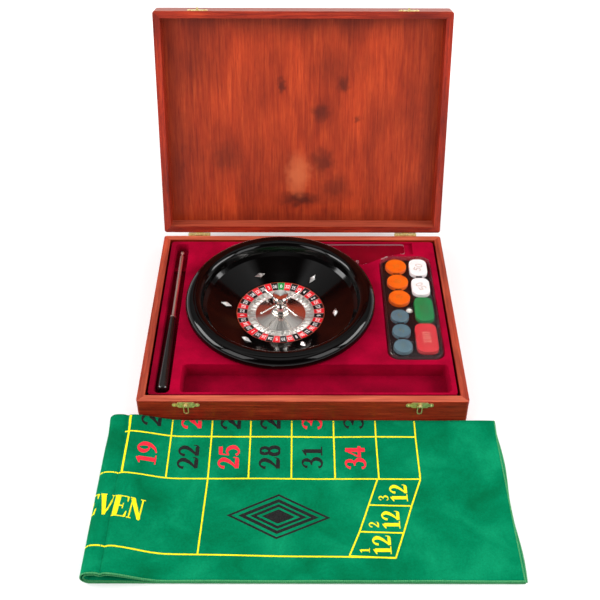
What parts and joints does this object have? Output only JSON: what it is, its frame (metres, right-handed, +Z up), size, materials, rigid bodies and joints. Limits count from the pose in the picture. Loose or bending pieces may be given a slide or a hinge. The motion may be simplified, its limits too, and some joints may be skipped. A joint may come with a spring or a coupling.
{
  "type": "roulette set case",
  "caption": "Hinged wooden case standing open with a flocked tray that holds a roulette wheel with a free-spinning rotor, a rake and a clear chip box, with its folded felt layout in front.",
  "frame": {"origin": "centre of the case's underside", "axes": "+X along the front to the right, +Y from the front to the hinges, +Z up"},
  "size_m": [0.49, 0.6839, 0.3678],
  "materials": {
    "stained_wood": "satin lacquer",
    "lid_wood": "satin lacquer",
    "brass": "polished",
    "flock": "flocked",
    "black_plastic": "gloss",
    "chrome": "polished",
    "steel": "turned",
    "bronze": "turned",
    "ring_plastic": "gloss",
    "lacquer_black": "gloss",
    "clear_acrylic": "clear",
    "insert_black": "matt",
    "orange_plastic": "satin",
    "blue_plastic": "satin",
    "white_plastic": "satin",
    "green_plastic": "satin",
    "red_plastic": "satin",
    "ball_white": "polished",
    "green_felt": "felt"
  },
  "bodies": {
    "base": {"base_front_board": "stained_wood", "base_back_board": "stained_wood", "base_left_board": "stained_wood", "base_right_board": "stained_wood", "base_bottom_panel": "stained_wood", "tray_insert": "flock", "hinge_left_base_leaf": "brass", "hinge_right_base_leaf": "brass", "hinge_left_pin": "brass", "hinge_right_pin": "brass", "hinge_screws_base": "brass", "catch_left_plate": "brass", "catch_right_plate": "brass", "catch_nails_base": "brass"},
    "lid": {"lid_front_board": "stained_wood", "lid_back_board": "stained_wood", "lid_left_board": "stained_wood", "lid_right_board": "stained_wood", "lid_panel": "lid_wood", "hinge_left_lid_leaf": "brass", "hinge_right_lid_leaf": "brass", "hinge_screws_lid": "brass", "catch_left_keeper": "brass", "catch_right_keeper": "brass", "catch_nails_lid": "brass"},
    "catch_loop_left": {"catch_left_loop": "brass"},
    "catch_loop_right": {"catch_right_loop": "brass"},
    "wheel": {"wheel_bowl": "black_plastic", "ball_deflectors": "chrome", "wheel_spindle": "steel", "thrust_washer": "bronze"},
    "rotor": {"rotor_dish": "black_plastic", "rotor_bush": "bronze", "rotor_rim_band": "chrome", "number_ring": "ring_plastic", "pocket_ring": "chrome", "rotor_cone": "chrome", "turret_foot": "chrome", "turret_arms": "chrome", "turret_neck": "chrome", "turret_crown": "chrome"},
    "rake": {"rake_handle": "lacquer_black", "rake_ferrule": "chrome", "rake_rod": "chrome", "rake_tip": "chrome"},
    "blade": {"rake_blade": "clear_acrylic"},
    "chip_box": {"chip_box": "clear_acrylic", "chip_insert": "insert_black"},
    "chip_box_cover": {"chip_box_lid": "clear_acrylic"},
    "chips": {"chips_orange": "orange_plastic", "chips_blue": "blue_plastic", "plaques_white": "white_plastic", "plaques_green": "green_plastic", "plaques_red": "red_plastic"},
    "ball": {"roulette_ball": "ball_white"},
    "layout": {"layout_cloth": "green_felt"}
  },
  "joints": [
    {"name": "lid_hinge", "type": "hinge", "parent": "base", "child": "lid", "pos_m": [0, 0.1689, 0.0433], "axis": [-1, 0, 0], "range_deg": [-106.3, 0]},
    {"name": "catch_left_swing", "type": "hinge", "parent": "base", "child": "catch_loop_left", "pos_m": [-0.1475, -0.1683, 0.0366], "axis": [1, 0, 0], "range_deg": [-180, 0]},
    {"name": "catch_right_swing", "type": "hinge", "parent": "base", "child": "catch_loop_right", "pos_m": [0.1475, -0.1683, 0.0366], "axis": [1, 0, 0], "range_deg": [-180, 0]},
    {"name": "wheel_lift", "type": "slide", "parent": "base", "child": "wheel", "axis": [0, 0, 1], "range_m": [0, 0.08]},
    {"name": "rotor_spin", "type": "hinge", "parent": "wheel", "child": "rotor", "pos_m": [-0.031, 0.018, 0.02], "axis": [0, 0, 1], "continuous": true},
    {"name": "rake_lift", "type": "slide", "parent": "base", "child": "rake", "axis": [0, 0, 1], "range_m": [0, 0.06]},
    {"name": "blade_lift", "type": "slide", "parent": "base", "child": "blade", "axis": [0, 0, 1], "range_m": [0, 0.08]},
    {"name": "chip_box_lift", "type": "slide", "parent": "base", "child": "chip_box", "axis": [0, 0, 1], "range_m": [0, 0.06]},
    {"name": "chip_cover_lift", "type": "slide", "parent": "chip_box", "child": "chip_box_cover", "axis": [0, 0, 1], "range_m": [0, 0.06]},
    {"name": "chips_lift", "type": "slide", "parent": "chip_box", "child": "chips", "axis": [0, 0, 1], "range_m": [0, 0.03]},
    {"name": "ball_lift", "type": "slide", "parent": "chip_box", "child": "ball", "axis": [0, 0, 1], "range_m": [0, 0.03]},
    {"name": "layout_slide", "type": "slide", "parent": "base", "child": "layout", "axis": [0, -1, 0], "range_m": [0, 0.06]}
  ],
  "couplings": [
    {"joint": "blade_lift", "follows": "wheel_lift", "ratio": 1},
    {"joint": "chips_lift", "follows": "chip_cover_lift", "ratio": 0.5},
    {"joint": "ball_lift", "follows": "chip_cover_lift", "ratio": 0.5}
  ]
}
